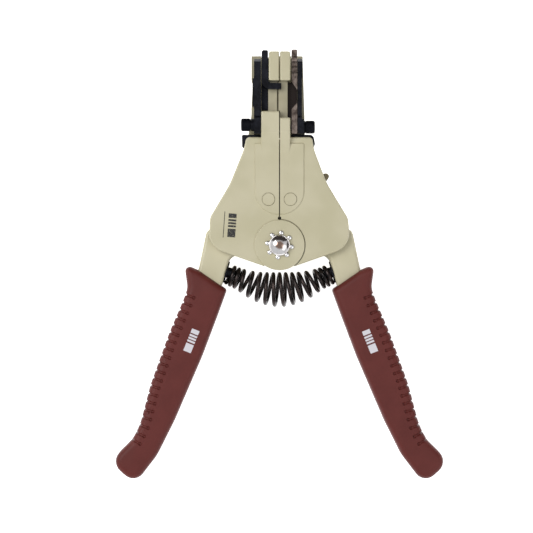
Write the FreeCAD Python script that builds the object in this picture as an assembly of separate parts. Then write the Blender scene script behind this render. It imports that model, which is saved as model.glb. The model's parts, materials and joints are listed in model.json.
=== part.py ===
import FreeCAD, Part
import os
from math import asin, cos, pi, sin, tan

# Automatic wire stripper with split heads, lying on its back plates.
# X runs across the tool, +Y points from the main pivot to the jaw tips, +Z points up at the reader.
# The origin is on the main pivot's axis, in the plane of the back plates' outer faces. Millimetres.
# Shapes are written for the right-hand half (+X); the left-hand half is their mirror image.

V = FreeCAD.Vector
X, Y, Z = V(1, 0, 0), V(0, 1, 0), V(0, 0, 1)
ORIGIN = V(0, 0, 0)

# ---- driving dimensions ----
# levels
PLATE = 3.2                      # thickness of the cast plates
CAVITY = 9.8                     # room between the back and the front plates
CAVITY_TOP = PLATE + CAVITY
FRONT = CAVITY_TOP + PLATE       # outer face of the front plates
BOSS_PROUD = 0.45                # the raised U-shaped boss on the front plates
DISC_PROUD = 0.5                 # the left plate's pivot disc stands proud of both plates
ARM_TOP = 19.5                   # front face of the neck block and the jaw tips
ARM_LOW = 11.2                   # underside of the fixed jaws
NECK_TOP = 15.5

# plan of one half
SLIT = 0.2                       # half the slit between the two heads
TIP_SLIT = 0.2                   # half the slit between the neck blocks and between the jaw tips
BACK_EDGE = {"left": 1.25, "right": -1.05}  # the back plates and jaws part left of the slit, so it isn't see-through
TOP_EDGE = 43.2                  # the plates' top edge
TIP_TOP, TIP_LOW = 77.2, 65.6
TIP_WIDTH = 4.3
NECK = {"left": (1.0, 4.5), "right": (0.2, 3.2)}  # the recessed necks, from inner to outer side
TONGUE = -0.4                    # a tongue on the right neck reaches this far across the slit
BLOCK_WIDTH = {"left": 7.3, "right": 4.3}
BLOCK_TOP = {"left": 53.4, "right": 50.8}
WALL = 1.6                       # side wall between the plates

# main pivot
DISC_R, DISC_GAP = 10.1, 0.3
BOLT_R, RUN = 4.0, 0.05          # RUN is the radial running clearance of every moving fit
BOLT_HEAD_R, BOLT_HEAD_T = 7.5, 1.0
SCREW_R, DOME_R, DOME_H, SKIRT = 2.5, 4.1, 1.9, 0.9
WASHER_T, WASHER_R, TOOTH_RING_R, TOOTH_R, TEETH, FIRST_TOOTH = 0.8, 4.3, 4.85, 1.0, 8, 0.64
RING_R = 7.2                     # pivot lugs of the handles
LUG_SPLIT = 8.1                  # level between the two handles' lugs

# handles and grips
HANDLE_LOW, HANDLE_TOP = 3.5, 12.7
WEB = 1.6                        # sheet thickness of the pressed handles
GRIP_LOW, GRIP_TOP = 0.5, 15.7

# jaws
HINGE_Y, HINGE_Z = 38.0, 7.0
JAW_OPEN = 8.0                   # degrees between the closed jaw and the rest pose
JAW_FACE, JAW_BACK, JAW_TIP = 10.8, 5.6, 76.6
JAW_WIDTH = {"left": 11.3, "right": 10.2}
WAIST_IN, WAIST_OUT = 2.3, 9.4   # the jaws' middle, between the frame's lug and the jaw springs
JAW_PIN_R = 1.5
INSERT_Y, INSERT_Z = 62.0, 7.9   # screw of the jaw inserts, in the closed pose
INSERT_FACE = {"left": 10.7, "right": 9.7}
BLADE_IN, BLADE_OUT = 4.85, 7.1  # the notched blades lie between these X

# cams, on the pins whose ends show flush in the front plates
CAM_X, CAM_Y, CAM_PIN_R = 4.4, 18.3, 2.55
CAM_R = 4.1

# latch
LATCH_X, LATCH_Y = 13.6, 19.6

# plate screws and cap screws
BOSSES = [(12.9, 32.4, 2.1), (21.3, 14.4, 2.4)]
PLATE_SCREW_R = 1.25
CAP_Y = {"left": 48.1, "right": 47.2}
CAP_Z, CAP_R, CAP_HEAD_R, CAP_HEAD = 15.4, 1.5, 2.6, 3.9
COLLAR = {"left": 1.25, "right": 0.5}
CLAMP_IN = {"left": 7.4, "right": 7.2}
CLAMP_OUT = {"left": 10.2, "right": 9.7}
CLAMP_LOW, CLAMP_TOP, CLAMP_END = ARM_LOW + 0.1, 18.2, 74.5

# return spring: a bowed barrel between the handles
SPRING_BOW_R, SPRING_END_X, SPRING_MID_Y = 36.5, 19.1, -17.7
SPRING_END_R, SPRING_MID_R, SPRING_WIRE = 4.6, 6.7, 1.8
SEAT_X, SEAT_Y, SEAT_TILT = 21.62, -10.8, 15.8

parts = {}


# ---- helpers ----
def outline(points):
    """Face in the XY plane through (x, y, radius) corners; a radius rounds its corner with a tangent arc."""
    corners = []
    for i, (x, y, r) in enumerate(points):
        here = V(x, y, 0)
        if r == 0:
            corners.append((here, here, here))
            continue
        back = V(points[i - 1][0], points[i - 1][1], 0) - here
        ahead = V(points[(i + 1) % len(points)][0], points[(i + 1) % len(points)][1], 0) - here
        back.normalize()
        ahead.normalize()
        half = back.getAngle(ahead) / 2
        inward = back + ahead
        inward.normalize()
        reach = r / tan(half)
        corners.append((here + back * reach, here + inward * (r / sin(half) - r), here + ahead * reach))
    edges = []
    for i, (start, middle, end) in enumerate(corners):
        if (end - start).Length > 1e-6:
            edges.append(Part.Arc(start, middle, end).toShape())
        following = corners[(i + 1) % len(corners)][0]
        if (following - end).Length > 1e-6:
            edges.append(Part.LineSegment(end, following).toShape())
    return Part.Face(Part.Wire(edges))


def slab(points, low, high):
    """Prism of an XY outline between two levels."""
    face = outline(points)
    face.translate(V(0, 0, low))
    return face.extrude(V(0, 0, high - low))


def across(points, x0, x1):
    """Prism of a (y, z, radius) outline between two X values."""
    face = outline(points)
    face.Placement = FreeCAD.Placement(V(x0, 0, 0), FreeCAD.Rotation(V(1, 1, 1), 120))
    return face.extrude(V(x1 - x0, 0, 0))


def box(x0, x1, y0, y1, z0, z1):
    return Part.makeBox(x1 - x0, y1 - y0, z1 - z0, V(x0, y0, z0))


def rod(x, y, r, low, high):
    """Cylinder along Z."""
    return Part.makeCylinder(r, high - low, V(x, y, low), Z)


def cross_rod(y, z, r, x0, x1):
    """Cylinder along X."""
    return Part.makeCylinder(r, x1 - x0, V(x0, y, z), X)


def fuse(first, *others):
    return first.multiFuse(list(others)).removeSplitter()


def fillet(shape, radius, chosen):
    return shape.makeFillet(radius, [e for e in shape.Edges if chosen(e)])


def at_level(edge, z):
    return edge.BoundBox.ZMax - edge.BoundBox.ZMin < 1e-4 and abs(edge.BoundBox.ZMax - z) < 1e-4


def save(name, shape, side="right"):
    """Keep one named sub-part, mirrored to the left-hand half when asked."""
    parts[name] = shape.mirror(ORIGIN, X) if side == "left" else shape


# ---- the two cast frames ----
SHOULDER = {"left": [(13.2, TOP_EDGE, 1.6), (14.4, 38.0, 12), (20.0, 24.2, 30), (27.9, 11.0, 5)],
            "right": [(13.0, TOP_EDGE, 1.6), (13.9, 38.0, 12), (18.8, 25.0, 25), (27.5, 10.6, 5)]}


def plan(side, edge):
    """Outline of one plate, from its edge at the slit out to the lobe beside the handle."""
    return [(edge, TOP_EDGE, 0), *SHOULDER[side], (28.4, -0.7, 8), (6.2, -8.5, 0), (edge, 0, 0)]


def plate_screw_holes(shape, low, high):
    for x, y, _ in BOSSES:
        shape = shape.cut(rod(x, y, PLATE_SCREW_R + 0.02, low, high))
    return shape


def pivot_layers(plate, low, high, split, over):
    """Half-thickness pivot disc: over says that this half's disc lies above the other half's."""
    gap = 0.1
    bottom, top = (split + gap / 2, high) if over else (low, split - gap / 2)
    clear_low, clear_high = (low - 1, bottom) if over else (top, high + 1)
    plate = plate.cut(rod(0, 0, DISC_R + DISC_GAP, clear_low, clear_high))
    plate = fuse(plate, rod(0, 0, DISC_R, bottom, top))
    return plate.cut(rod(0, 0, BOLT_R + RUN, low - 1, high + 1))


def arm(side):
    """Neck block, recessed neck and fixed jaw tip that rise from the plate's top edge."""
    top = BLOCK_TOP[side]
    block = across([(34.0, FRONT, 0), (38.6, FRONT + 0.7, 6), (44.8, ARM_TOP, 2.5), (top, ARM_TOP, 0.8),
                    (top, ARM_LOW, 0), (TOP_EDGE + 0.1, ARM_LOW, 0), (TOP_EDGE + 0.1, CAVITY_TOP, 0),
                    (TOP_EDGE - 1.5, CAVITY_TOP + 1, 0), (34.0, CAVITY_TOP + 1, 0)], TIP_SLIT, BLOCK_WIDTH[side])
    block = fillet(block, 0.5, lambda e: e.BoundBox.ZMin > FRONT - 0.1 and e.BoundBox.XMin > 4)
    neck = across([(top - 1, ARM_LOW, 0), (top - 1, NECK_TOP, 0), (TIP_LOW + 1, NECK_TOP, 0),
                   (TIP_LOW + 1, ARM_LOW, 0)], *NECK[side])
    if side == "right":
        neck = fuse(neck, box(TONGUE, 1.0, BLOCK_TOP["left"] + 0.4, TIP_LOW - 0.3, ARM_LOW, NECK_TOP))
    tip = slab([(TIP_SLIT, TIP_LOW, 0.3), (TIP_SLIT, TIP_TOP, 0.4), (TIP_WIDTH, TIP_TOP, 0.9),
                (TIP_WIDTH, TIP_LOW, 0.6)], ARM_LOW, ARM_TOP)
    tip = fillet(tip, 0.5, lambda e: at_level(e, ARM_TOP))
    return fuse(block, neck, tip)


def frame(side):
    plate = slab(plan(side, SLIT), CAVITY_TOP, FRONT)
    plate = fillet(plate, 0.6, lambda e: at_level(e, FRONT) and e.BoundBox.XMax > 6.3)
    boss = slab([(SLIT, 40.9, 0), (10.0, 40.9, 0.8), (10.0, 12.1, 9.5), (SLIT, 12.1, 0)],
                FRONT - 1, FRONT + BOSS_PROUD)
    rim = [e for e in boss.Edges if at_level(e, FRONT + BOSS_PROUD) and e.BoundBox.XMax > 1]
    boss = boss.makeChamfer(BOSS_PROUD - 0.03, rim)
    disc_top = FRONT + (DISC_PROUD if side == "left" else 0)
    plate = pivot_layers(fuse(plate, boss), CAVITY_TOP, disc_top, CAVITY_TOP + 1.7, side == "left")
    if side == "left":
        plate = fillet(plate, 0.35, lambda e: at_level(e, disc_top) and e.BoundBox.DiagonalLength > 2 * DISC_R)
    whole = outline(plan(side, SLIT))
    rim = whole.cut(whole.makeOffset2D(-WALL))
    rim.translate(V(0, 0, PLATE))
    wall = rim.extrude(V(0, 0, CAVITY)).common(box(11.2, 40, 12.4, 50, 0, 20))
    lug = box(0.3, 2.0, HINGE_Y - 3, HINGE_Y + 3, 4.5, CAVITY_TOP + 1)
    columns = [rod(x, y, r, PLATE, CAVITY_TOP + 0.5) for x, y, r in BOSSES]
    body = fuse(plate, arm(side), wall, lug, *columns)
    body = body.cut(box(4, 18, 29.9, 46, 11.55, CAVITY_TOP))
    if side == "right":
        body = body.cut(box(12, 24, 23.2, 30.0, 7.4, 10.6))
    body = body.cut(rod(0, DISC_R + 0.65, 0.7, 10, 20))
    body = body.cut(rod(CAM_X, CAM_Y, CAM_PIN_R + 0.1, 10, 20))
    body = body.cut(cross_rod(HINGE_Y, HINGE_Z, JAW_PIN_R + 0.02, 0, 14.0))
    body = body.cut(cross_rod(CAP_Y[side], CAP_Z, CAP_R + 0.02, 1.0, 12))
    return plate_screw_holes(body, PLATE, 11.0)


def back_plate(side):
    plate = slab(plan(side, BACK_EDGE[side]), 0, PLATE)
    plate = fillet(plate, 0.6, lambda e: at_level(e, 0) and e.BoundBox.XMax > 6.3)
    recess = BOLT_HEAD_T + 0.25
    low = recess if side == "right" else 0
    plate = plate.cut(rod(0, 0, DISC_R + DISC_GAP, -1, recess))
    plate = pivot_layers(plate, low, PLATE, (recess + PLATE) / 2, side == "left")
    plate = plate.cut(rod(CAM_X, CAM_Y, CAM_PIN_R + 0.02, -1, PLATE + 1))
    for x, y, _ in BOSSES:
        plate = plate.cut(Part.makeCone(2.35, PLATE_SCREW_R + 0.05, 1.2, V(x, y, 0), Z))
    return plate_screw_holes(plate, -1, PLATE + 1)


def plate_screws():
    screws = []
    for x, y, _ in BOSSES:
        head = Part.makeCone(2.3, PLATE_SCREW_R, 1.15, V(x, y, 0.05), Z)
        shank = rod(x, y, PLATE_SCREW_R, 0.6, 10.8)
        slot = box(x - 1.5, x + 1.5, y - 0.3, y + 0.3, 0, 0.65)
        screws.append(fuse(head, shank).cut(slot))
    return Part.makeCompound(screws)


def hinge_bracket(side):
    """Black bracket under the front plate's top edge; its tail shows down the outer side."""
    if side == "left":
        shoulder = [(15.1, 44.3, 0.6), (15.0, 39.4, 0.5), (14.0, 38.6, 0.3)]
    else:
        shoulder = [(13.6, 44.3, 1.8), (14.3, 40.6, 0.3), (13.6, 38.6, 0.3)]
    return slab([(4.7, 30.2, 0), (4.7, 44.3, 0.3), *shoulder, (12.4, 36.0, 0), (10.2, 30.2, 0)], 11.6, 12.95)


# ---- handles and grips ----
SHANK = [(10.0, 6.6, 2), (24.0, 9.3, 5), (29.4, 5.4, 3), (32.3, -8.6, 30), (35.3, -20.4, 30),
         (58.2, -80.6, 3), (50.0, -83.6, 3), (26.8, -23.6, 30), (23.2, -16.2, 20), (19.5, -3.6, 4),
         (10.0, -5.2, 2)]


def handle(side):
    low, high = (LUG_SPLIT + 0.2, HANDLE_TOP) if side == "left" else (HANDLE_LOW, LUG_SPLIT - 0.2)
    body = slab(SHANK, HANDLE_LOW, HANDLE_TOP)
    body = fillet(body, 1.3, lambda e: (at_level(e, HANDLE_TOP) or at_level(e, HANDLE_LOW))
                  and e.BoundBox.XMin > 28.5 and e.BoundBox.YMin > -81 and e.BoundBox.XMax < 58
                  and e.BoundBox.YMax < 8)
    channel = slab([(13.0, 3.4, 0), (23.0, 4.8, 2), (27.4, 2.8, 2), (30.6, -9.2, 30), (33.5, -20.9, 30),
                    (56.0, -79.8, 0), (47.0, -83.2, 0), (24.0, -24.0, 0), (19.0, -15.0, 0), (15.5, -4.8, 0),
                    (13.0, -3.0, 0)], HANDLE_LOW + WEB, HANDLE_TOP - WEB)
    root = slab([(0, 7.0, 0), (12.0, 6.6, 0), (12.0, -5.0, 0), (0, -7.0, 0)], low, high)
    finger = slab([(1.2, 5.0, 0), (1.2, 13.6, 0.6), (4.6, 13.6, 0.9), (6.0, 5.0, 0)], low, high)
    body = fuse(body.cut(channel), root, finger, rod(0, 0, RING_R, low, high))
    return body.cut(rod(0, 0, BOLT_R + RUN, 0, 20))


GRIP = [(21.2, -17.9, 1.4), (32.4, -10.2, 7), (38.2, -7.6, 1.0), (36.9, -17.2, 7), (38.6, -22.0, 10),
        (44.2, -35.0, 60), (51.8, -56.0, 60), (56.4, -73.6, 30), (59.6, -78.6, 10), (68.2, -87.0, 5.2),
        (58.0, -95.9, 4.8), (49.2, -84.4, 14), (42.4, -70.8, 60), (31.2, -44.8, 60), (25.0, -28.4, 30)]


def grip():
    body = slab(GRIP, GRIP_LOW, GRIP_TOP)
    body = fillet(body, 2.4, lambda e: at_level(e, GRIP_LOW) or at_level(e, GRIP_TOP))
    fit = 0.05
    cavity = outline(SHANK).makeOffset2D(fit)
    cavity.translate(V(0, 0, HANDLE_LOW - fit))
    return body.cut(cavity.extrude(V(0, 0, HANDLE_TOP - HANDLE_LOW + 2 * fit)))


# ---- jaws ----
def opened(shape):
    """Turn a shape drawn in the closed pose about the jaw hinge into the rest pose."""
    return shape.rotate(V(0, HINGE_Y, HINGE_Z), X, -JAW_OPEN)


def back_jaw(side):
    width = JAW_WIDTH[side]
    eye = cross_rod(HINGE_Y, HINGE_Z, 3.1, WAIST_IN, WAIST_OUT)
    waist = across([(38.0, 4.2, 0), (44.5, 5.0, 0), (44.5, 9.4, 0), (38.0, 9.8, 0)], WAIST_IN, WAIST_OUT)
    tail = across([(38.0, 4.5, 0), (38.0, 9.6, 0), (24.2, 7.3, 0.8), (24.2, 4.5, 0.8)], WAIST_IN, WAIST_OUT)
    beak = across([(43.6, 5.2, 0), (47.0, JAW_BACK, 4), (JAW_TIP, JAW_BACK, 1.2), (JAW_TIP, JAW_FACE, 0.4),
                   (52.0, JAW_FACE, 4), (47.5, 9.4, 4), (43.6, 9.4, 0)], BACK_EDGE[side], width)
    jaw = fuse(eye, waist, tail, beak)
    if side == "right":
        taper = slab([(9.4, 78, 0), (14, 78, 0), (14, 46, 0), (width, 48, 0)], 0, 20)
        jaw = jaw.cut(box(BLADE_IN, BLADE_OUT, 56.0, 80, 6.9, 20)).cut(taper)
    else:
        flare = slab([(9.0, 43.7, 0), (12.6, 43.7, 0), (12.2, 46.5, 3), (10.7, 56.5, 3), (9.0, 56.5, 0)], 5.6, 9.2)
        side_cut = slab([(10.7, 66.6, 0), (14, 66.6, 0), (14, 43, 0), (11.9, 43, 0)], 0, 20)
        jaw = fuse(jaw.cut(box(1.5, 7.3, 58.0, 80, 8.3, 20)).cut(side_cut), flare)
    jaw = jaw.cut(cross_rod(HINGE_Y, HINGE_Z, JAW_PIN_R + RUN, 0, 12))
    jaw = jaw.cut(cross_rod(INSERT_Y, INSERT_Z, 1.02, 3.0, 12))
    return opened(jaw.cut(cross_rod(INSERT_Y, INSERT_Z, 1.9, INSERT_FACE[side] - 1.2, 12)))


def jaw_insert_screw(side):
    """Small screw that holds the lower blade or gripper in its slot, from the outer side of the jaw."""
    face = INSERT_FACE[side]
    head = cross_rod(INSERT_Y, INSERT_Z, 1.8, face - 1.15, face - 0.05)
    head = head.cut(box(face - 0.5, face, INSERT_Y - 2, INSERT_Y + 2, INSERT_Z - 0.3, INSERT_Z + 0.3))
    shank = cross_rod(INSERT_Y, INSERT_Z, 1.0, BLADE_OUT + 0.05 if side == "right" else 8.0, face - 1.15)
    return opened(fuse(head, shank))


WIRE_NOTCHES = [(60.0, 0.5), (62.6, 0.65), (65.6, 0.8), (68.9, 1.0), (72.6, 1.25)]


def upper_blade():
    blade = box(BLADE_IN, BLADE_OUT - 0.05, 44.4, 78.0, ARM_LOW + 0.1, 15.0)
    head = slab([(BLADE_IN, 65.2, 0), (BLADE_OUT - 0.05, 62.0, 0), (BLADE_OUT - 0.05, 78.0, 0.4),
                 (BLADE_IN, 78.0, 0.4)], 14.5, 18.2)
    foot = slab([(BLADE_IN, 44.4, 0), (BLADE_OUT - 0.05, 44.4, 0.4), (BLADE_OUT - 0.05, 56.8, 0),
                 (BLADE_IN, 54.2, 0)], 14.5, 18.6)
    web = box(NECK["right"][1] + 0.1, BLADE_OUT - 0.05, BLOCK_TOP["right"] + 0.2, TIP_LOW - 0.3, ARM_LOW + 0.1, 13.6)
    blade = fuse(blade, head, foot, web)
    for step in range(4):
        y = 68.2 + 2.1 * step
        blade = blade.cut(box(BLADE_IN - 1, BLADE_OUT + 1, y, y + 0.9, 17.0, 20))
    for y, r in WIRE_NOTCHES:
        blade = blade.cut(cross_rod(y, ARM_LOW, r, 0, 12))
    return blade.cut(cross_rod(CAP_Y["right"], CAP_Z, CAP_R + 0.05, 0, 12))


def lower_blade():
    blade = box(BLADE_IN + 0.05, BLADE_OUT - 0.05, 56.1, 75.4, 6.95, JAW_FACE + 0.15)
    for y, r in WIRE_NOTCHES:
        blade = blade.cut(cross_rod(y, JAW_FACE + 0.2, r, 0, 12))
    return opened(blade)


def upper_gripper():
    """Plate bent round the left tip: a tall leg outside it and a short foot under it, across the slit."""
    tall = slab([(4.6, 65.6, 0), (4.6, 77.8, 0.6), (7.15, 77.8, 0.9), (7.15, 62.2, 3.4), (-0.7, 62.2, 0),
                 (-0.7, 64.6, 0.3), (3.8, 64.6, 0.9)], 15.7, 18.6)
    leg = box(4.6, 7.15, 54.2, 77.0, ARM_LOW + 0.1, 14.6)
    leg = fuse(leg, box(4.6, 7.15, 64.4, 77.0, 14.0, 16.0))
    plate = fuse(tall, leg).cut(box(4, 8, 71.7, 80, 17.8, 20))
    for step in range(8):
        y = 65.6 + 1.4 * step
        plate = plate.cut(across([(y - 0.5, 11.0, 0), (y, 12.0, 0), (y + 0.5, 11.0, 0)], 4, 8))
    return plate


def lower_gripper():
    pad = box(1.6, 7.2, 58.1, 75.4, 8.35, JAW_FACE + 0.1)
    for step in range(12):
        y = 59.0 + 1.4 * step
        groove = [(y - 0.45, JAW_FACE + 0.2, 0), (y, JAW_FACE - 0.7, 0), (y + 0.45, JAW_FACE + 0.2, 0)]
        pad = pad.cut(across(groove, 1, 8))
    return opened(pad)


def clamp_plate(side):
    """Outer black plate beside the jaws, with a half-round window over the wire."""
    x0, x1 = CLAMP_IN[side], CLAMP_OUT[side]
    plate = across([(44.2, 13.6, 0.6), (44.2, 19.2, 1.2), (50.8, 19.2, 0.4), (51.6, CLAMP_TOP, 0),
                    (CLAMP_END - 1.4, CLAMP_TOP, 0.8), (CLAMP_END, 15.8, 0.6), (CLAMP_END, CLAMP_LOW, 0.6),
                    (51.0, CLAMP_LOW, 1)], x0, x1)
    plate = plate.cut(cross_rod(69.5, ARM_LOW, 2.2, 0, 20))
    if side == "left":
        plate = fuse(plate, box(x1 - 0.2, x1 + 0.65, 55.4, 66.6, ARM_LOW + 0.6, 17.4))
    else:
        plate = plate.cut(box(x1 - 0.75, x1 + 1, 50.2, 67.0, 0, 20)).cut(box(x1 - 0.55, x1 + 1, 66.9, 80, 0, 20))
    return plate.cut(cross_rod(CAP_Y[side], CAP_Z, CAP_R + 0.05, 0, 20))


def cap_screw(side):
    y, start = CAP_Y[side], CLAMP_OUT[side] + 0.05 + COLLAR[side]
    head = cross_rod(y, CAP_Z, CAP_HEAD_R, start, start + CAP_HEAD)
    head = fillet(head, 0.35, lambda e: e.BoundBox.XMin > start + CAP_HEAD - 0.01)
    socket = Part.makePolygon([V(start + CAP_HEAD - 1.7, y + 1.45 * cos(pi / 3 * k), CAP_Z + 1.45 * sin(pi / 3 * k))
                               for k in range(7)])
    head = head.cut(Part.Face(socket).extrude(V(3, 0, 0)))
    return fuse(head, cross_rod(y, CAP_Z, CAP_R, 1.2, start))


def screw_collar(side):
    y, start = CAP_Y[side], CLAMP_OUT[side] + 0.02
    ring = cross_rod(y, CAP_Z, 2.55, start, start + COLLAR[side])
    return ring.cut(cross_rod(y, CAP_Z, CAP_R + 0.05, 0, 20))


def jaw_spring():
    coil = cross_rod(HINGE_Y, HINGE_Z, 2.7, 9.7, 11.8)
    return coil.cut(cross_rod(HINGE_Y, HINGE_Z, JAW_PIN_R + 0.2, 9, 13))


# ---- cams and latch ----
def cam():
    hub = rod(CAM_X, CAM_Y, CAM_R, HANDLE_LOW, HANDLE_TOP)
    lobe = slab([(CAM_X - 3.0, CAM_Y, 0), (CAM_X - 1.8, 25.4, 1.2), (CAM_X + 2.6, 25.4, 1.2),
                 (CAM_X + 3.2, CAM_Y, 0)], 9.6, HANDLE_TOP)
    return fuse(hub, lobe).cut(rod(CAM_X, CAM_Y, CAM_PIN_R + RUN, 0, 20))


def cam_pin():
    top = FRONT + BOSS_PROUD - 0.02
    pin = rod(CAM_X, CAM_Y, CAM_PIN_R, 0.3, top)
    return pin.makeChamfer(0.2, [e for e in pin.Edges if at_level(e, top)])


def latch_lever():
    lever = slab([(11.3, 19.6, 2), (13.4, 26.4, 2), (16.8, 28.6, 1), (21.3, 29.4, 1.2), (18.7, 25.4, 0.6),
                  (17.2, 23.8, 1), (15.8, 18.6, 2), (13.4, 17.0, 2)], 7.9, 10.1)
    return lever.cut(rod(LATCH_X, LATCH_Y, 1.2 + RUN, 0, 20))


def latch_spring():
    return rod(LATCH_X, LATCH_Y, 2.2, 10.3, 12.6).cut(rod(LATCH_X, LATCH_Y, 1.4, 10, 13))


# ---- main pivot ----
def pivot_bolt():
    bolt = fuse(rod(0, 0, BOLT_HEAD_R, 0, BOLT_HEAD_T), rod(0, 0, BOLT_R, 0.5, FRONT + 0.4))
    return bolt.cut(rod(0, 0, SCREW_R + 0.02, 7.0, 20))


def tooth_washer():
    low = FRONT + DISC_PROUD
    turns = [2 * pi * k / TEETH + FIRST_TOOTH for k in range(TEETH)]
    teeth = [rod(TOOTH_RING_R * cos(t), TOOTH_RING_R * sin(t), TOOTH_R, low, low + WASHER_T) for t in turns]
    return fuse(rod(0, 0, WASHER_R, low, low + WASHER_T), *teeth).cut(rod(0, 0, SCREW_R + 0.1, 0, 30))


def pivot_screw():
    seat = FRONT + DISC_PROUD + WASHER_T
    top = seat + SKIRT + DOME_H
    ball_r = (DOME_R ** 2 + DOME_H ** 2) / (2 * DOME_H)
    dome = Part.makeSphere(ball_r, V(0, 0, top - ball_r)).common(rod(0, 0, DOME_R, seat, top + 1))
    for turn in (0, 90):
        wing = box(-2.0, 2.0, -0.42, 0.42, seat + 0.9, top + 1)
        wing.rotate(ORIGIN, Z, turn + 28)
        dome = dome.cut(wing)
    return fuse(dome, rod(0, 0, SCREW_R, 8.0, seat + 0.5))


def pivot_spacer():
    return rod(0, 0, RING_R - 0.4, LUG_SPLIT - 0.15, LUG_SPLIT + 0.15).cut(rod(0, 0, BOLT_R + RUN, 0, 20))


# ---- return spring ----
def return_spring():
    """Outer form of the bowed barrel spring: a tube whose wall is one wire thick."""
    stations = 9
    reach = asin(SPRING_END_X / SPRING_BOW_R)
    centre = V(0, SPRING_MID_Y + SPRING_BOW_R, (HANDLE_LOW + HANDLE_TOP) / 2)

    def shell(inset):
        rings = []
        for k in range(stations):
            angle = -reach + 2 * reach * k / (stations - 1)
            radius = SPRING_END_R + (SPRING_MID_R - SPRING_END_R) * sin(pi * k / (stations - 1)) ** 0.7
            place = centre + V(sin(angle), -cos(angle), 0) * SPRING_BOW_R
            ring = Part.makeCircle(radius - inset, place, V(cos(angle), sin(angle), 0))
            rings.append(Part.Wire([ring]))
        return Part.makeLoft(rings, True)

    return shell(0).cut(shell(SPRING_WIRE))


def spring_seat():
    """Disc against the handle's open side, keyed into the channel, with a stud inside the spring."""
    mid = (HANDLE_LOW + HANDLE_TOP) / 2
    disc = Part.makeCylinder(4.4, 0.5, V(-0.55, 0, 0), X)
    stud = Part.makeCylinder(2.2, 3.0, V(-3.5, 0, 0), X)
    key = box(-0.5, 1.2, -2.6, 2.6, -2.9, 2.9)
    seat = fuse(disc, stud, key)
    seat.rotate(ORIGIN, Z, SEAT_TILT)
    seat.translate(V(SEAT_X, SEAT_Y, mid))
    return seat


# ---- every named piece ----
for side in ("left", "right"):
    save(f"{side}_frame", frame(side), side)
    save(f"{side}_back_plate", back_plate(side), side)
    save(f"{side}_plate_screws", plate_screws(), side)
    save(f"{side}_hinge_bracket", hinge_bracket(side), side)
    save(f"{side}_handle", handle(side), side)
    save(f"{side}_grip", grip(), side)
    save(f"{side}_back_jaw", back_jaw(side), side)
    save(f"{side}_jaw_pin", cross_rod(HINGE_Y, HINGE_Z, JAW_PIN_R, 0.35, 13.6), side)
    save(f"{side}_jaw_spring", jaw_spring(), side)
    save(f"{side}_clamp_plate", clamp_plate(side), side)
    save(f"{side}_cap_screw", cap_screw(side), side)
    save(f"{side}_screw_collar", screw_collar(side), side)
    save(f"{side}_cam", cam(), side)
    save(f"{side}_cam_pin", cam_pin(), side)
    save(f"{side}_spring_seat", spring_seat(), side)
save("upper_blade", upper_blade())
save("lower_blade", lower_blade())
save("blade_screw", jaw_insert_screw("right"))
save("upper_gripper", upper_gripper(), "left")
save("lower_gripper", lower_gripper(), "left")
save("gripper_screw", jaw_insert_screw("left"), "left")
save("latch_lever", latch_lever())
save("latch_pin", rod(LATCH_X, LATCH_Y, 1.2, PLATE, CAVITY_TOP))
save("latch_spring", latch_spring())
save("pivot_bolt", pivot_bolt())
save("pivot_spacer", pivot_spacer())
save("tooth_washer", tooth_washer())
save("pivot_screw", pivot_screw())
save("return_spring", return_spring())

os.makedirs("parts", exist_ok=True)
for name, shape in parts.items():
    shape.exportStep(f"parts/{name}.step")
    print(name, len(shape.Solids), "solid(s)", round(shape.Volume, 1), "mm3, valid:", shape.isValid())
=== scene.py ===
# %% [markdown]
# # An automatic wire stripper, dressed in Blender
#
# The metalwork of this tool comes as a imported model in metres: split cast frames, jaws, pressed
# handles, pins and screws, each a named node that rides on a named body. This lesson keeps the nodes
# whose shape is already right and gives them a finish. It makes afresh the pieces that a coarse solid
# can't show: ribbed grips, wound springs, knurled screws and the toothed washer.

# %% Load the frame
import json
import math

import bmesh
import bpy
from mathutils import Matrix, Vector


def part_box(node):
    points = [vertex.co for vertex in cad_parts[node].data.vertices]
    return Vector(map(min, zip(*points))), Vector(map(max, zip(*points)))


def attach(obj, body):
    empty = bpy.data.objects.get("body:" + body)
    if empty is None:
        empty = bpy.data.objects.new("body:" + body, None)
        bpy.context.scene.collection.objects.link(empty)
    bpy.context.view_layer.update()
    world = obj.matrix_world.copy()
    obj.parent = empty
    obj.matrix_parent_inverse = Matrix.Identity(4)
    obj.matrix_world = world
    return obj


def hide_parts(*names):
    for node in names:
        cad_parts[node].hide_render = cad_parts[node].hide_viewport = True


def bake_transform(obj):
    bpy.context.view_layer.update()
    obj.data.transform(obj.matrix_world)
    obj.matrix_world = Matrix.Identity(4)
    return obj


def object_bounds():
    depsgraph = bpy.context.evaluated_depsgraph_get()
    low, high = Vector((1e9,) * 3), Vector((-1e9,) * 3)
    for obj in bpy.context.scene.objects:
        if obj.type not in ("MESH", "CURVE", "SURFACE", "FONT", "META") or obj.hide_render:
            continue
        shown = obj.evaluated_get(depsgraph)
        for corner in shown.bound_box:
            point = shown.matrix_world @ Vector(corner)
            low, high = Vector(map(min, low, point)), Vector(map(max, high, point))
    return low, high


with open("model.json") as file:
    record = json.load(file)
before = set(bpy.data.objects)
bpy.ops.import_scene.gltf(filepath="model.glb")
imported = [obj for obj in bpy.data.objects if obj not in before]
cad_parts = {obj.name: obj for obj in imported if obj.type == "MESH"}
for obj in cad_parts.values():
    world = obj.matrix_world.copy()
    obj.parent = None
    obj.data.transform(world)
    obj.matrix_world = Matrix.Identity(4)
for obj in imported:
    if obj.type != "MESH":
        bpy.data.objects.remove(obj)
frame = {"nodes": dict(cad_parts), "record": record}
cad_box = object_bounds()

MM = 0.001
scene = bpy.context.scene
nodes = frame["nodes"]

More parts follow.
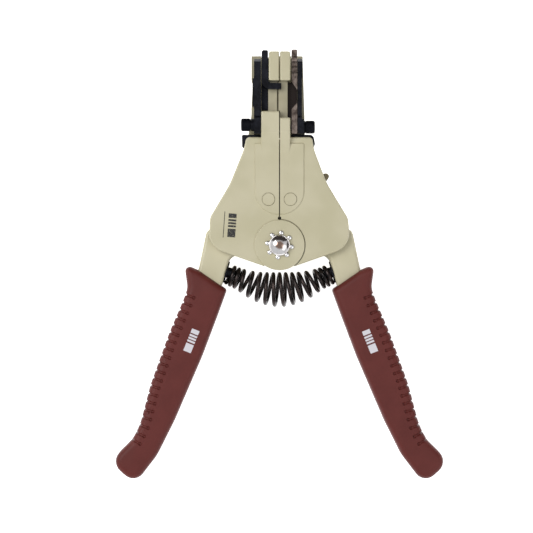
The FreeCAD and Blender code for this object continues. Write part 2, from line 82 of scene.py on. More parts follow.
# %% [markdown]
# ## One wrapper for every node tree
#
# Shaders and geometry trees are both nets of nodes. Writing each link by hand is long and hard to
# read, so a small class wraps an output socket and lets Python's own operators add the Math nodes.
# One method, `node`, places any other node: its settings first, then the values or links of its
# sockets. The same class serves materials and Geometry Nodes.

# %% A socket that can be added and multiplied
class Wire:
    """An output socket; arithmetic on it adds Math nodes to its tree."""

    def __init__(self, net, socket):
        self.net, self.socket = net, socket

    def maths(self, operation, other=0.0):
        return self.net.node("ShaderNodeMath", {"operation": operation}, {0: self, 1: other})

    def __add__(self, other):
        return self.maths("ADD", other)

    def __sub__(self, other):
        return self.maths("SUBTRACT", other)

    def __rsub__(self, other):
        return self * -1 + other

    def __mul__(self, other):
        return self.maths("MULTIPLY", other)

    def __truediv__(self, other):
        return self.maths("DIVIDE", other)

    def __pow__(self, other):
        return self.maths("POWER", other)

    __radd__, __rmul__ = __add__, __mul__


# %% A tree of nodes
class Net:
    """A node tree under construction."""

    def __init__(self, tree):
        self.tree = tree

    def node(self, kind, settings=(), sockets=(), out=0):
        """Place a node with its settings and its sockets' values or wires; return the wire of one output."""
        made = self.tree.nodes.new(kind)
        for name, value in dict(settings).items():
            setattr(made, name, value)
        for key, value in dict(sockets).items():
            if isinstance(value, Wire):
                self.tree.links.new(value.socket, made.inputs[key])
            else:
                made.inputs[key].default_value = value
        return Wire(self, made.outputs[out])

    def steps(self, value, low, high):
        """0 below low, 1 above high, smooth between."""
        return self.node("ShaderNodeMapRange", {"interpolation_type": "SMOOTHSTEP"},
                         {"Value": value, "From Min": low, "From Max": high})

    def parts(self, vector):
        """The three components of a vector."""
        split = self.node("ShaderNodeSeparateXYZ", {}, {0: vector})
        return [Wire(self, socket) for socket in split.socket.node.outputs]

    def mix(self, factor, first, second):
        return self.node("ShaderNodeMix", {"data_type": "RGBA"}, {0: factor, 6: first, 7: second}, out=2)


print("node tree wrappers ready")

# %% [markdown]
# ## Finishes
#
# Every finish reads Object coordinates, so its grain has a real size in metres and stays put when a
# body turns. A finish is a base colour that wanders a little, a roughness that wanders with it, and a
# fine bump. Colours are mixed with Mix nodes; plain numbers go straight on the shader's sockets.

# %% A material with a principled shader
class Finish(Net):
    """A material, its shader and the few patterns that the finishes share."""

    def __init__(self, name, **fixed):
        self.material = bpy.data.materials.new(name)
        self.material.use_nodes = True
        super().__init__(self.material.node_tree)
        self.shader = self.tree.nodes["Principled BSDF"]
        self.place = self.node("ShaderNodeTexCoord", out="Object")
        for socket, value in fixed.items():
            self.shader.inputs[socket.replace("_", " ")].default_value = value

    def noise(self, size_mm, detail=3.0, stretch=(1, 1, 1)):
        """Cloudy pattern from 0 to 1 whose patches are about size_mm across."""
        place = self.node("ShaderNodeMapping", {}, {"Vector": self.place, "Scale": stretch})
        return self.node("ShaderNodeTexNoise", {}, {"Vector": place, "Scale": 1 / (size_mm * MM), "Detail": detail})

    def feed(self, socket, value):
        self.tree.links.new(value.socket, self.shader.inputs[socket])

    def bump(self, height, depth_mm):
        self.feed("Normal", self.node("ShaderNodeBump", {}, {"Height": height, "Distance": depth_mm * MM,
                                                             "Strength": 1.0}))


def rgb(r, g, b):
    return (r, g, b, 1.0)


print("finish helpers ready")

# %% [markdown]
# ### Paint on the castings and handles
#
# The beige paint is a thick semi-gloss coat: very even in colour, with a faint orange peel that only
# shows in its reflections. A slow drift of tone, a little dust in the coat and a soft peel are enough.
# The recessed necks and the jaws behind them are darkened with a painted shade that stands in for their shadow.
# The left front plate also carries a small printed mark. The real mark is a maker's, so a plain
# generic badge of bars stands in its place, drawn by comparing Object coordinates with box edges.

# %% Paint
def bars(finish, centre, turn, boxes):
    """Mask that is 1 inside any box (x, y, half width, half height in mm), in a frame turned about centre."""
    away = finish.node("ShaderNodeVectorMath", {"operation": "SUBTRACT"},
                       {0: finish.place, 1: (centre[0] * MM, centre[1] * MM, 0)})
    local = finish.node("ShaderNodeMapping", {}, {"Vector": away, "Rotation": (0, 0, -math.radians(turn)),
                                                  "Scale": (1 / MM, 1 / MM, 1 / MM)})
    across, along = finish.parts(local)[:2]
    mask = None
    for x, y, wide, tall in boxes:
        inside = ((across - x).maths("ABSOLUTE").maths("LESS_THAN", wide)
                  * (along - y).maths("ABSOLUTE").maths("LESS_THAN", tall))
        mask = inside if mask is None else mask.maths("MAXIMUM", inside)
    return mask


BEIGE, SUNNY, SHADY = (0.545, 0.500, 0.340), (1.04, 1.04, 1.05), (0.94, 0.94, 0.90)
DUST, NECK_SHADE_TONE, INK = rgb(0.30, 0.26, 0.17), rgb(0.22, 0.19, 0.12), rgb(0.01, 0.01, 0.01)
NECKS_FROM, NECKS_BELOW = (50 * MM, 52 * MM), (15.6 * MM, 16.4 * MM)


def paint(name, tone=1.0, badge=None):
    """Semi-gloss beige; badge gives the arguments of bars() for a printed mark."""
    f = Finish(name, Coat_Weight=0.25, Coat_Roughness=0.18, Specular_IOR_Level=0.45)
    drift, peel, dust = f.noise(14, 2), f.noise(0.9, 2), f.noise(0.35, 1)
    light, dark = (rgb(*(part * tone * gain for part, gain in zip(BEIGE, gains))) for gains in (SUNNY, SHADY))
    colour = f.mix(f.steps(drift, 0.3, 0.7), dark, light)
    colour = f.mix(f.steps(dust, 0.72, 0.80) * 0.25, colour, DUST)
    ahead, up = f.parts(f.place)[1:]
    # painted shade: darkens the paint beyond 50 mm towards the tips and below the front face, over the necks and the
    # jaws
    painted_neck_shade = f.steps(ahead, *NECKS_FROM) * (1 - f.steps(up, *NECKS_BELOW))
    colour = f.mix(painted_neck_shade * (0.30 + f.noise(3, 3) * 0.35), colour, NECK_SHADE_TONE)
    if badge:
        colour = f.mix(bars(f, *badge) * f.steps(f.noise(0.25, 1), 0.25, 0.40), colour, INK)
    f.feed("Base Color", colour)
    f.feed("Roughness", 0.36 + drift * 0.10)
    f.bump(peel + dust * 0.3, 0.010)
    return f.material


BARS = [(0, 3.7, 1.6, 0.9), (0, 1.9, 1.6, 0.4), (0, 0.7, 1.6, 0.4), (0, -0.5, 1.6, 0.4), (0, -3.2, 1.6, 1.7)]
RULE = (-3.2, 0, 0.14, 5.2)
cast_paint = paint("cast_paint")
badge_paint = paint("cast_paint_with_badge", badge=((-19.0, 8.0), -4.0, BARS + [RULE]))
handle_paint = paint("handle_paint", tone=1.02)
print("paints", [m.name for m in (cast_paint, badge_paint, handle_paint)])

# %% [markdown]
# ### Steels
#
# Black oxide is a thin conversion skin: nearly black, slightly blue, satin, and rubbed brighter in
# patches. The ground blades are bare tool steel gone brown from handling, with grinding lines across
# them, with a painted shade down in the recess between head and foot. The pins and coils are zinc plated.
# The pivot screw and its washer are bright, with a brown film left in the screw's cross.

# %% A patchy metal, with a real film on the screw and a painted shade on the blade
def steel(name, dark, light, metallic, rough, grain_mm=0.5, stretch=(1, 1, 1), depth_mm=0.008, patch_mm=4,
          film_and_shade=None, **fixed):
    """Patchy metal; the optional pair is a function that gives the mask of the part left bare, and the colour laid
    on the rest: a real film on the pivot screw, a painted shade in the blade's recess.
    """
    f = Finish(name, Metallic=metallic, **fixed)
    patches, grain = f.noise(patch_mm, 4), f.noise(grain_mm, 2, stretch)
    colour = f.mix(f.steps(patches * 0.6 + grain * 0.4, 0.35, 0.70), dark, light)
    if film_and_shade:
        bare_mask, film_and_shade_colour = film_and_shade
        colour = f.mix(bare_mask(f), film_and_shade_colour, colour)
    f.feed("Base Color", colour)
    f.feed("Roughness", rough + patches * 0.16 + grain * 0.08)
    f.bump(grain, depth_mm)
    return f.material


def out_of_recess(f):
    """1 on the blade's head and foot, 0 down between them, where the painted shade goes."""
    return f.steps(f.parts(f.place)[2], 15.1 * MM, 15.6 * MM)


def out_of_cross(f):
    """1 on the pivot screw's dome, 0 near the pivot's axis, with a ragged edge."""
    flat = f.node("ShaderNodeVectorMath", {"operation": "MULTIPLY"}, {0: f.place, 1: (1, 1, 0)})
    from_axis = f.node("ShaderNodeVectorMath", {"operation": "LENGTH"}, {0: flat}, out="Value")
    return f.steps(from_axis + f.noise(0.8, 2) * MM, 1.6 * MM, 2.5 * MM)


# %% Black, brown, zinc and bright steel
black_oxide = steel("black_oxide", rgb(0.004, 0.004, 0.006), rgb(0.016, 0.017, 0.024), 0.6, 0.24,
                    Specular_IOR_Level=0.25)
# painted shade: the blade is darkened down in its recess between head and foot, standing in for shadow
ground_steel = steel("ground_blade_steel", rgb(0.055, 0.038, 0.030), rgb(0.27, 0.215, 0.185), 0.75, 0.28,
                     grain_mm=0.35, stretch=(1, 0.25, 1), patch_mm=2.2,
                     film_and_shade=(out_of_recess, rgb(0.018, 0.012, 0.010)))
zinc = steel("zinc_plate", rgb(0.42, 0.41, 0.38), rgb(0.62, 0.61, 0.58), 1.0, 0.22, grain_mm=0.3)
bright = steel("bright_plate", rgb(0.80, 0.78, 0.77), rgb(0.90, 0.89, 0.88), 1.0, 0.03, grain_mm=1.5,
               depth_mm=0.002)
screw_plate = steel("bright_screw", rgb(0.78, 0.74, 0.72), rgb(0.90, 0.88, 0.87), 1.0, 0.05, grain_mm=1.5,
                    depth_mm=0.002, film_and_shade=(out_of_cross, rgb(0.30, 0.20, 0.155)))
spring_wire = steel("black_spring_wire", rgb(0.006, 0.005, 0.005), rgb(0.055, 0.038, 0.034), 0.7, 0.12,
                    grain_mm=0.7, Specular_IOR_Level=0.5)
brown_steel = steel("latch_steel", rgb(0.14, 0.115, 0.065), rgb(0.30, 0.255, 0.165), 0.5, 0.40)
print("steels", [m.name for m in (black_oxide, ground_steel, zinc, bright, screw_plate, spring_wire, brown_steel)])

# %% [markdown]
# ### Grip plastic
#
# The grips are moulded in dark maroon with a fine spark-eroded texture, so they are satin rather than
# shiny, and slightly chalky where the mould was worn. A white mark is printed on each; again a generic
# set of bars takes its place, one badge for the left grip and its mirror for the right.

# %% Maroon grips
def grip_plastic(name, badge):
    f = Finish(name, Specular_IOR_Level=0.27)
    cloud, texture = f.noise(9, 3), f.noise(0.30, 2)
    colour = f.mix(f.steps(cloud, 0.3, 0.7), rgb(0.106, 0.0175, 0.0135), rgb(0.124, 0.022, 0.0175))
    colour = f.mix(f.steps(texture, 0.62, 0.80) * 0.20, colour, rgb(0.18, 0.050, 0.045))
    colour = f.mix(bars(f, *badge) * 0.93, colour, rgb(0.72, 0.70, 0.74))
    f.feed("Base Color", colour)
    f.feed("Roughness", 0.44 + cloud * 0.14)
    f.bump(texture, 0.012)
    return f.material


grip_finish = {"left": grip_plastic("maroon_left", ((-35.2, -38.2), -22.0, BARS)),
               "right": grip_plastic("maroon_right", ((36.2, -38.4), 22.0, BARS))}
print("grips", [m.name for m in grip_finish.values()])

# %% [markdown]
# ## Dressing the nodes that stay
#
# The record gives each node a material slot, so most finishes are handed out by slot. The handles, the
# left frame with its badge and the pivot screw with its film have finishes of their own.

# %% Hand out the finishes
by_slot = {"body_paint": cast_paint, "pin_steel": cast_paint, "zinc_steel": zinc, "black_steel": black_oxide,
           "blade_steel": ground_steel, "chrome": bright, "latch_steel": brown_steel,
           "spring_steel": spring_wire, "grip_plastic": grip_finish["left"]}
slot_of = {row["node"]: row["material_slot"] for row in frame["record"]["subparts"]}
for name, node in nodes.items():
    node.data.materials.clear()
    node.data.materials.append(by_slot[slot_of[name]])
for name, finish in (("left_handle", handle_paint), ("right_handle", handle_paint),
                     ("left_frame", badge_paint), ("pivot_screw", screw_plate)):
    nodes[name].data.materials[0] = finish
print("dressed", len(nodes), "nodes")

# %% [markdown]
# ## Running a geometry tree
#
# A tree gets an output, named inputs, and a Set Material at its end. `grow` hangs it on a host, sets
# the inputs by their identifiers before anything is evaluated, and keeps the result as a plain mesh;
# the host and its modifier are then thrown away.

# %% A tree with named inputs
class Grower(Net):
    """A geometry tree with named inputs."""

    def __init__(self, name, **inputs):
        super().__init__(bpy.data.node_groups.new(name, "GeometryNodeTree"))
        face = self.tree.interface
        face.new_socket("Geometry", in_out="INPUT", socket_type="NodeSocketGeometry")
        for label, kind in inputs.items():
            face.new_socket(label, in_out="INPUT", socket_type="NodeSocket" + kind)
        face.new_socket("Material", in_out="INPUT", socket_type="NodeSocketMaterial")
        face.new_socket("Geometry", in_out="OUTPUT", socket_type="NodeSocketGeometry")
        self.entry = self.tree.nodes.new("NodeGroupInput")

    def given(self, label):
        return Wire(self, self.entry.outputs[label])

    def join(self, *pieces):
        joined = self.tree.nodes.new("GeometryNodeJoinGeometry")
        for piece in reversed(pieces):
            self.tree.links.new(piece.socket, joined.inputs[0])
        return Wire(self, joined.outputs[0])

    def close(self, geometry, crease=180):
        """Realize, smooth all but the edges sharper than crease degrees, set the material and end the tree."""
        solid = self.node("GeometryNodeRealizeInstances", {}, {0: geometry})
        fold = self.node("GeometryNodeInputMeshEdgeAngle").maths("GREATER_THAN", math.radians(crease))
        creased = self.node("GeometryNodeSetShadeSmooth", {"domain": "EDGE"},
                            {0: solid, "Selection": fold, "Shade Smooth": False})
        shaded = self.node("GeometryNodeSetShadeSmooth", {"domain": "FACE"}, {0: creased, "Shade Smooth": True})
        coated = self.node("GeometryNodeSetMaterial", {}, {0: shaded, "Material": self.given("Material")})
        self.tree.links.new(coated.socket, self.tree.nodes.new("NodeGroupOutput").inputs[0])
        return self.tree


# %% Baking a tree to a plain mesh
def link(name, mesh):
    made = bpy.data.objects.new(name, mesh)
    scene.collection.objects.link(made)
    return made


def grow(name, tree, mesh=None, **values):
    """Evaluate a tree on a host mesh and return the result as a plain mesh object with one material."""
    host = link(name + "_host", mesh or bpy.data.meshes.new(name + "_host"))
    modifier = host.modifiers.new("grow", "NODES")
    modifier.node_group = tree
    for item in tree.interface.items_tree:
        if item.in_out == "INPUT" and item.name in values:
            modifier[item.identifier] = values[item.name]
    ready = bpy.context.evaluated_depsgraph_get()
    made = link(name, bpy.data.meshes.new_from_object(host.evaluated_get(ready), depsgraph=ready))
    made.data.materials.clear()
    made.data.materials.append(values["Material"])
    made.data.polygons.foreach_set("material_index", [0] * len(made.data.polygons))
    bpy.data.objects.remove(host)
    print(name, len(made.data.polygons), "faces")
    return made


# %% [markdown]
# ## The return spring
#
# The handles are pushed apart by a barrel spring that is bowed like a smile: its coils are close wound
# at both ends, wide in the middle, and bent along an arc. A Curve circle swept by hand would need
# hundreds of points, and a Screw modifier can't bow or swell. Its shape follows a rule, so a geometry
# tree places each point of one long line by formula: an angle that keeps turning, a place on the bow
# that moves fastest half way out and slowest in the closed coils, and a radius that swells in the middle.
# The bow itself is an arc up to a bend limit and runs on straight beyond it, at a tangent.

# %% A bowed, swelling coil
def coil_tree():
    g = Grower("bowed_coil", **{
        "Turns": "Float", "Steps": "Int", "Bow radius": "Float", "Half angle": "Float", "Bend limit": "Float",
        "Arc centre": "Vector", "End radius": "Float", "Swell": "Float", "Open from": "Float",
        "Closed from": "Float", "Wire radius": "Float"})
    line = g.node("GeometryNodeMeshLine", {}, {"Count": g.given("Steps")})
    curve = g.node("GeometryNodeMeshToCurve", {}, {0: line})
    across = (g.node("GeometryNodeInputIndex") / (g.given("Steps") - 1)) * 2 - 1
    turn = (across * g.given("Turns") + 1) * math.pi
    out = across.maths("ABSOLUTE")
    beyond_open = (out - g.given("Open from")).maths("MAXIMUM", 0.0)
    beyond_closed = (out - g.given("Closed from")).maths("MAXIMUM", 0.0)
    # The place runs evenly at first, a little faster past Open from and much slower past Closed from.
    place = out * 1.10 + beyond_open * 0.12 - beyond_closed * 0.54
    bell = (place * (math.pi / 1.7)).maths("MINIMUM", math.pi / 2).maths("COSINE").maths("MAXIMUM", 0.0) ** 1.3
    radius = g.given("End radius") + g.given("Swell") * bell
    along = place * across.maths("SIGN") * g.given("Half angle")
    limit = g.given("Bend limit")
    arc = along.maths("MINIMUM", limit).maths("MAXIMUM", limit * -1)
    straight = (along - arc) * g.given("Bow radius")
    reach = g.given("Bow radius") + radius * turn.maths("COSINE")
    point = g.node("ShaderNodeCombineXYZ", {}, {
        0: reach * arc.maths("SINE") + straight * arc.maths("COSINE"),
        1: reach * arc.maths("COSINE") * -1 + straight * arc.maths("SINE"), 2: radius * turn.maths("SINE") * -1})
    moved = g.node("ShaderNodeVectorMath", {"operation": "ADD"}, {0: point, 1: g.given("Arc centre")})
    curve = g.node("GeometryNodeSetPosition", {}, {0: curve, "Position": moved})
    ring = g.node("GeometryNodeCurvePrimitiveCircle", {}, {"Resolution": 12, "Radius": g.given("Wire radius")})
    return g.close(g.node("GeometryNodeCurveToMesh", {}, {0: curve, 1: ring, "Fill Caps": True}))


spring_low, spring_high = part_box("return_spring")
BOW, SPRING_MIDDLE = 30.0 * MM, -17.95 * MM
spring = grow("return_coil", coil_tree(), **{
    "Turns": 14.9, "Steps": 480, "Bow radius": BOW, "Half angle": 0.71, "Bend limit": 0.40,
    "Arc centre": (0, SPRING_MIDDLE + BOW, (spring_low.z + spring_high.z) / 2), "End radius": 3.65 * MM,
    "Swell": 2.7 * MM, "Open from": 0.4, "Closed from": 0.68, "Wire radius": 0.81 * MM,
    "Material": spring_wire})
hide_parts("return_spring")
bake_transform(spring)

# %% [markdown]
# ## Small wound springs
#
# The jaws' return springs lie round their hinge pins and the latch's spring round its own. Each is a
# plain helix, so a short tree winds a line once and is used three times, turned to its pin's axis.

# %% Plain coils on their pins
def helix_tree():
    g = Grower("plain_coil", **{"Turns": "Float", "Height": "Float", "Radius": "Float", "Wire radius": "Float",
                                "Turned": "Vector", "Foot": "Vector"})
    line = g.node("GeometryNodeCurveSpiral", {}, {"Resolution": 24, "Rotations": g.given("Turns"),
                                                  "Start Radius": g.given("Radius"),
                                                  "End Radius": g.given("Radius"), "Height": g.given("Height")})
    ring = g.node("GeometryNodeCurvePrimitiveCircle", {}, {"Resolution": 8, "Radius": g.given("Wire radius")})
    wound = g.node("GeometryNodeCurveToMesh", {}, {0: line, 1: ring, "Fill Caps": True})
    return g.close(g.node("GeometryNodeTransform", {}, {0: wound, "Translation": g.given("Foot"),
                                                        "Rotation": g.given("Turned")}))


helix = helix_tree()
THIN_WIRE = 0.3 * MM
for name, body, axis, turned in (("left_jaw_spring", "left_frame", 0, (0, math.pi / 2, 0)),
                                 ("right_jaw_spring", "right_frame", 0, (0, math.pi / 2, 0)),
                                 ("latch_spring", "right_frame", 2, (0, 0, 0))):
    low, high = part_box(name)
    foot = (Vector(low) + Vector(high)) / 2
    foot[axis] = low[axis] + THIN_WIRE
    coil = grow(name + "_coil", helix, Turns=3.0, Height=high[axis] - low[axis] - 2 * THIN_WIRE,
                Radius=(high.y - low.y) / 2 - THIN_WIRE, Foot=foot, Turned=turned, Material=zinc,
                **{"Wire radius": THIN_WIRE})
    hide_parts(name)
    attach(coil, body)

# %% [markdown]
# ## The toothed washer
#
# A lock washer with eight rounded teeth sits under the pivot screw. The teeth are pressed up and
# plated, so each is a small bright dome. One dome is instanced round a circle over a plain ring, which
# is lathed from its section.

# %% A lathe
def lathe(name, section, axis, centre, steps=64):
    """Surface of revolution of a closed (radius, height) section in mm about X or Z through centre."""
    points, faces = [], []
    for k in range(steps):
        a = 2 * math.pi * k / steps
        for r, h in section:
            u, v = r * math.cos(a) * MM, r * math.sin(a) * MM
            points.append(centre + (Vector((h * MM, u, v)) if axis == "X" else Vector((u, v, h * MM))))
    n = len(section)
    for k in range(steps):
        for i in range(n):
            j, m = (i + 1) % n, (k + 1) % steps
            faces.append((k * n + i, m * n + i, m * n + j, k * n + j))
    mesh = bpy.data.meshes.new(name)
    mesh.from_pydata(points, [], faces)
    mesh.validate()
    return mesh


def tidy_normals(mesh):
    """Merge doubles and turn every face outwards."""
    work = bmesh.new()
    work.from_mesh(mesh)
    bmesh.ops.remove_doubles(work, verts=work.verts, dist=1e-7)
    bmesh.ops.recalc_face_normals(work, faces=work.faces)
    work.to_mesh(mesh)
    work.free()
    return mesh


# %% Teeth round a ring
def tooth_tree():
    g = Grower("washer_teeth", **{"Teeth": "Int", "Circle": "Float", "Tooth": "Float", "Level": "Float",
                                  "First": "Float", "Flat": "Vector"})
    ring = g.node("GeometryNodeMeshCircle", {}, {"Vertices": g.given("Teeth"), "Radius": g.given("Circle")})
    lift = g.node("ShaderNodeCombineXYZ", {}, {2: g.given("Level")})
    turned = g.node("ShaderNodeCombineXYZ", {}, {2: g.given("First")})
    ring = g.node("GeometryNodeTransform", {}, {0: ring, "Translation": lift, "Rotation": turned})
    dome = g.node("GeometryNodeMeshUVSphere", {}, {"Segments": 18, "Rings": 12, "Radius": g.given("Tooth")})
    teeth = g.node("GeometryNodeInstanceOnPoints", {}, {"Points": ring, "Instance": dome, "Scale": g.given("Flat")})
    return g.close(g.join(teeth, g.given("Geometry")))


washer_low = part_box("tooth_washer")[0].z
section = [(2.6, 0.0), (4.1, 0.0), (4.3, 0.15), (4.2, 0.6), (2.6, 0.7)]
washer_ring = tidy_normals(lathe("washer_ring", section, "Z", Vector((0, 0, washer_low))))
washer = grow("toothed_washer", tooth_tree(), mesh=washer_ring, Teeth=8, Circle=4.9 * MM, Tooth=0.95 * MM,
              Level=washer_low + 0.35 * MM, First=0.64, Flat=(1, 1, 0.45), Material=bright)
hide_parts("tooth_washer")
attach(washer, "left_frame")

# %% [markdown]
# ## Knurled cap screws
#
# A black socket screw crosses the neck on each side. Its head is a cylinder with a fine straight knurl
# and a socket. The body is lathed; the knurl is one thin ridge, instanced round the head along its axis.

# %% Screws with a straight knurl
def knurl_tree():
    g = Grower("straight_knurl", **{"Ridges": "Int", "Head": "Float", "Length": "Float", "Middle": "Vector",
                                    "Depth": "Float"})
    ring = g.node("GeometryNodeMeshCircle", {}, {"Vertices": g.given("Ridges"), "Radius": g.given("Head")})
    bar = g.node("GeometryNodeMeshCylinder", {"fill_type": "NGON"}, {"Vertices": 6, "Radius": g.given("Depth"),
                                                                   "Depth": g.given("Length")})
    ridges = g.node("GeometryNodeInstanceOnPoints", {}, {"Points": ring, "Instance": bar})
    turned = g.node("GeometryNodeTransform", {}, {0: ridges, "Translation": g.given("Middle"),
                                                  "Rotation": (0, math.pi / 2, 0)})
    return g.close(g.join(turned, g.given("Geometry")), crease=30)


knurl = knurl_tree()
HEAD_LENGTH, SOCKET_DEPTH, SHANK_R, KNURL = 3.9, 1.7, 1.5, 0.2
for side, sign in (("left", -1), ("right", 1)):
    low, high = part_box(side + "_cap_screw")
    ends = (low.x / MM, high.x / MM)
    tip, foot = ends if side == "left" else ends[::-1]
    centre = Vector((0, (low.y + high.y) / 2, (low.z + high.z) / 2))
    core = (high.y - low.y) / 2 / MM - KNURL
    under, bite = tip - sign * HEAD_LENGTH, tip - sign * SOCKET_DEPTH
    section = [(0.0, bite), (1.25, bite), (1.4, tip - sign * 0.1), (1.55, tip), (core - 0.25, tip),
               (core, tip - sign * 0.25), (core, under + sign * 0.2), (core - 0.15, under),
               (SHANK_R, under), (SHANK_R, foot), (0.0, foot)]
    body = tidy_normals(lathe(side + "_screw_body", section, "X", centre, 48))
    screw = grow(side + "_knurled_screw", knurl, mesh=body, Ridges=30, Head=core * MM, Length=3.1 * MM,
                 Depth=0.19 * MM, Material=black_oxide,
                 Middle=Vector(((tip - sign * HEAD_LENGTH / 2) * MM, centre.y, centre.z)))
    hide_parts(side + "_cap_screw")
    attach(screw, side + "_frame")

# %% [markdown]
# ## The grips
#
# Each grip is a moulded sleeve: a flat-faced bar with well rounded edges, a guard that flares at the
# top, and a row of ribs down its outer edge. The bar is an outline with soft corners, skinned in rings
# that follow the rounding from one face to the other. Each ring is the outline of the same polygon with
# its sides moved inwards and its corner radii changed to match, so the rings never cross themselves.
#
# The ribs are what is left between grooves. One groove is a bead bent round the edge like a C, fat where
# it bites and thin where it only joins, with a round dimple at each end. A geometry tree lays it along
# the outer edge at even steps and cuts all the copies out of the bar in one Boolean.

# %% Rounded outlines and their insets
def rounded(corners, steps=6):
    """Points in mm round (x, y, radius) corners, each turned by a tangent arc of steps pieces."""
    points = []
    for i, (x, y, r) in enumerate(corners):
        here = Vector((x, y))
        back = (Vector(corners[i - 1][:2]) - here).normalized()
        ahead = (Vector(corners[(i + 1) % len(corners)][:2]) - here).normalized()
        half = back.angle(ahead) / 2
        centre = here + (back + ahead).normalized() * (r / math.sin(half))
        start = here + back * (r / math.tan(half)) - centre
        sweep = start.angle_signed(here + ahead * (r / math.tan(half)) - centre)
        for k in range(steps + 1):
            a = -sweep * k / steps
            points.append(centre + Vector((start.x * math.cos(a) - start.y * math.sin(a),
                                           start.x * math.sin(a) + start.y * math.cos(a))))
    return points


SHARPEST = 0.04


def inset(corners, distance):
    """The same clockwise polygon with every side moved inwards and every corner radius changed to match."""
    moved = []
    for i, (x, y, r) in enumerate(corners):
        here = Vector((x, y))
        before = (here - Vector(corners[i - 1][:2])).normalized()
        after = (Vector(corners[(i + 1) % len(corners)][:2]) - here).normalized()
        inward = Vector((before.y, -before.x)) + Vector((after.y, -after.x))
        here += inward * (distance / (1 + before.dot(after)))
        bulges = before.cross(after) < 0
        moved.append((here.x, here.y, max(r - distance, SHARPEST) if bulges else r + distance))
    return moved


# %% The moulded bar
GRIP_LOW, GRIP_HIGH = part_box("right_grip")
MID_Z = (GRIP_LOW.z + GRIP_HIGH.z) / 2 / MM
HALF = (GRIP_HIGH.z - GRIP_LOW.z) / 2 / MM
EDGE_R = 2.6
# Corners (x, y, radius) in mm, clockwise from the guard's inner end.
BAR = [(21.2, -17.9, 1.4), (32.4, -10.2, 7), (38.2, -7.6, 1.7), (36.9, -17.2, 7), (38.6, -22.0, 10),
       (44.2, -35.0, 60), (51.8, -56.0, 60), (56.4, -73.6, 30), (59.6, -78.6, 10), (68.2, -87.0, 5.2),
       (58.0, -95.9, 4.8), (49.2, -84.4, 14), (42.4, -70.8, 60), (31.2, -44.8, 60), (25.0, -28.4, 30)]
QUARTER = [math.pi / 2 * k / 7 for k in range(8)]


def bar_mesh(name):
    """The bar's skin, ring by ring from the front face to the back."""
    rings = [(EDGE_R * (1 - math.sin(a)), HALF - EDGE_R + EDGE_R * math.cos(a)) for a in QUARTER]
    rings += [(d, -z) for d, z in reversed(rings)]
    points, faces = [], []
    for d, z in rings:
        points += [Vector((p.x, p.y, MID_Z + z)) * MM for p in rounded(inset(BAR, d))]
    n = len(points) // len(rings)
    for k in range(len(rings) - 1):
        for i in range(n):
            j = (i + 1) % n
            faces.append((k * n + i, k * n + j, (k + 1) * n + j, (k + 1) * n + i))
    faces += [tuple(range(n)), tuple(range((len(rings) - 1) * n, len(rings) * n))]
    mesh = bpy.data.meshes.new(name)
    mesh.from_pydata(points, [], faces)
    return tidy_normals(mesh)


print("bar", len(rounded(BAR)), "points round,", round(2 * HALF, 1), "mm deep")

# %% One groove, bent round the edge
def groove_mesh(name, around=12):
    """A bead in a C round the grip's edge. Local X runs along the grip and local Y outwards."""
    # Stations (y, z, bead radius) in mm, from the dimple on the front face round to the back.
    upper = [(-4.4, HALF, 0.30), (-4.15, HALF, 0.66), (-3.5, HALF, 0.74), (-3.2, HALF, 0.50), (-2.8, HALF, 0.46)]
    upper += [(EDGE_R * (math.sin(a) - 1), HALF - EDGE_R + EDGE_R * math.cos(a), 0.58) for a in QUARTER]
    stations = upper + [(y, -z, r) for y, z, r in reversed(upper)]
    points, faces = [], []
    last = len(stations) - 1
    for i, (y, z, r) in enumerate(stations):
        before, after = stations[max(i - 1, 0)], stations[min(i + 1, last)]
        t = Vector((after[0] - before[0], after[1] - before[1])).normalized()
        for k in range(around):
            a = 2 * math.pi * k / around
            points.append(Vector((math.cos(a) * r, y - t.y * math.sin(a) * r, z + t.x * math.sin(a) * r)) * MM)
    for i in range(last):
        for k in range(around):
            m = (k + 1) % around
            faces.append((i * around + k, i * around + m, (i + 1) * around + m, (i + 1) * around + k))
    faces += [tuple(range(around)), tuple(range(last * around, (last + 1) * around))]
    mesh = bpy.data.meshes.new(name)
    mesh.from_pydata(points, [], faces)
    return tidy_normals(mesh)


# %% Grooves laid along the edge and cut out
def groove_tree():
    g = Grower("grooves_on_edge", **{"Groove": "Object", "Bar": "Object", "Count": "Int"})
    curve = g.node("GeometryNodeMeshToCurve", {}, {0: g.given("Geometry")})
    evenly = g.node("GeometryNodeResampleCurve", {"mode": "COUNT"}, {0: curve, "Count": g.given("Count")})
    turned = g.node("FunctionNodeAlignRotationToVector", {"axis": "X", "pivot_axis": "Z"},
                    {"Vector": g.node("GeometryNodeInputTangent")})
    groove = g.node("GeometryNodeObjectInfo", {}, {0: g.given("Groove")}, out="Geometry")
    grooves = g.node("GeometryNodeInstanceOnPoints", {}, {"Points": evenly, "Instance": groove, "Rotation": turned})
    bar = g.node("GeometryNodeObjectInfo", {}, {0: g.given("Bar")}, out="Geometry")
    cut = g.node("GeometryNodeMeshBoolean", {"operation": "DIFFERENCE", "solver": "EXACT"},
                 {"Mesh 1": bar, "Mesh 2": g.node("GeometryNodeRealizeInstances", {}, {0: grooves})})
    return g.close(cut, crease=35)


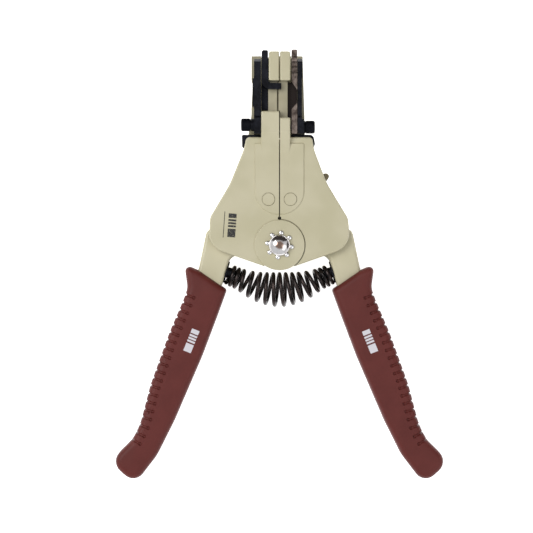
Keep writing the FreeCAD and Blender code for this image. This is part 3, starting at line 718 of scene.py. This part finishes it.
EDGE_TOP, EDGE_END = (37.8, -19.8), (59.05, -77.8)
LEAD_IN, ARC_POINTS = (30.0, -10.0, 1), 7
edge_line = rounded([LEAD_IN, (*EDGE_TOP, 1), *BAR[4:8], (*EDGE_END, 1)])[2 * ARC_POINTS:-ARC_POINTS]
edge_line = [Vector(EDGE_TOP), *edge_line, Vector(EDGE_END)]
print("grooved edge", round(sum((b - a).length for a, b in zip(edge_line, edge_line[1:])), 1), "mm long")
edge_mesh = bpy.data.meshes.new("outer_edge")
edge_mesh.from_pydata([Vector((p.x, p.y, MID_Z)) * MM for p in edge_line],
                      [(i, i + 1) for i in range(len(edge_line) - 1)], [])
groove = link("groove_pattern", groove_mesh("groove"))
bar = link("bar_pattern", bar_mesh("bar"))
right_grip = grow("right_ribbed_grip", groove_tree(), mesh=edge_mesh, Groove=groove, Bar=bar, Count=20,
                  Material=grip_finish["right"])
for pattern in (groove, bar):
    bpy.data.objects.remove(pattern)


def mirrored(source, name, finish):
    """A copy of a mesh object on the other side of the YZ plane, its faces turned outwards, in one finish."""
    mesh = source.data.copy()
    for vertex in mesh.vertices:
        vertex.co.x = -vertex.co.x
    mesh.flip_normals()
    mesh.materials[0] = finish
    return link(name, mesh)


left_grip = mirrored(right_grip, "left_ribbed_grip", grip_finish["left"])
for side, grip in (("left", left_grip), ("right", right_grip)):
    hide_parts(side + "_grip")
    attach(grip, side + "_handle")

# %% [markdown]
# ## Stage, light and camera
#
# A pale floor under the tool, a soft sky and two broad lamps give the even light of a catalogue table.
# The sky is darker low down beyond the jaws and to the right, so the domed screw has something to mirror;
# seen directly it's pale all round.
# The camera hangs straight above, far enough away that the perspective is slight.

# %% Floor
REACH, FLOOR_GAP = 3.0, 0.5 * MM
floor_level = cad_box[0].z - FLOOR_GAP
floor_mesh = bpy.data.meshes.new("floor")
floor_mesh.from_pydata([(x, y, floor_level) for x, y in ((-REACH, -REACH), (REACH, -REACH), (REACH, REACH),
                                                         (-REACH, REACH))], [], [(0, 1, 2, 3)])
floor = link("floor", floor_mesh)
floor_finish = Finish("pale_floor", Roughness=0.9, Emission_Strength=0.85)
floor_finish.shader.inputs["Base Color"].default_value = rgb(0.93, 0.93, 0.93)
floor_finish.shader.inputs["Emission Color"].default_value = rgb(1, 1, 1)
floor.data.materials.append(floor_finish.material)
print("floor", 2 * REACH, "m wide,", FLOOR_GAP / MM, "mm under the tool")

# %% Lamps
def lamp(name, place, size, power, target=(0, 0, 0.01)):
    """A square lamp that faces the tool."""
    light = bpy.data.lights.new(name, "AREA")
    light.shape, light.size, light.energy = "SQUARE", size, power
    made = link(name, light)
    made.location = place
    made.rotation_euler = (Vector(target) - Vector(place)).to_track_quat("-Z", "Y").to_euler()


lamp("key", place=(-0.55, 0.30, 0.85), size=0.6, power=5.5)
lamp("fill", place=(0.60, -0.35, 0.80), size=0.8, power=2.0)

# %% Sky
world = bpy.data.worlds.new("sky")
world.use_nodes = True
sky = Net(world.node_tree)
right, ahead, up = sky.parts(sky.node("ShaderNodeTexCoord", out="Generated"))
dim = (sky.steps(ahead, 0.42, 0.55) * (1 - sky.steps(up, 0.70, 0.82))).maths("MAXIMUM", sky.steps(right, 0.86, 0.94))
mirrored_only = dim * (1 - sky.node("ShaderNodeLightPath", out="Is Camera Ray"))
sky_colour = sky.mix(mirrored_only, rgb(0.95, 0.97, 1.0), rgb(0.06, 0.05, 0.05))
world.node_tree.links.new(sky_colour.socket, world.node_tree.nodes["Background"].inputs["Color"])
world.node_tree.nodes["Background"].inputs["Strength"].default_value = 0.66
scene.world = world
scene.view_settings.view_transform = "Standard"
print("sky", len(world.node_tree.nodes), "nodes")

# %% Camera
FIELD, AWAY, SENSOR = 0.2132, 0.80, 36.0
AIM = (-0.0052, -0.0086, 0.0162)
camera_data = bpy.data.cameras.new("camera")
camera_data.sensor_width = SENSOR
camera_data.lens = SENSOR * AWAY / FIELD
camera = link("camera", camera_data)
camera.location = (AIM[0], AIM[1], AIM[2] + AWAY)
scene.camera = camera
print("camera sees", FIELD, "m across, from", round(camera.location.z, 4), "m up")
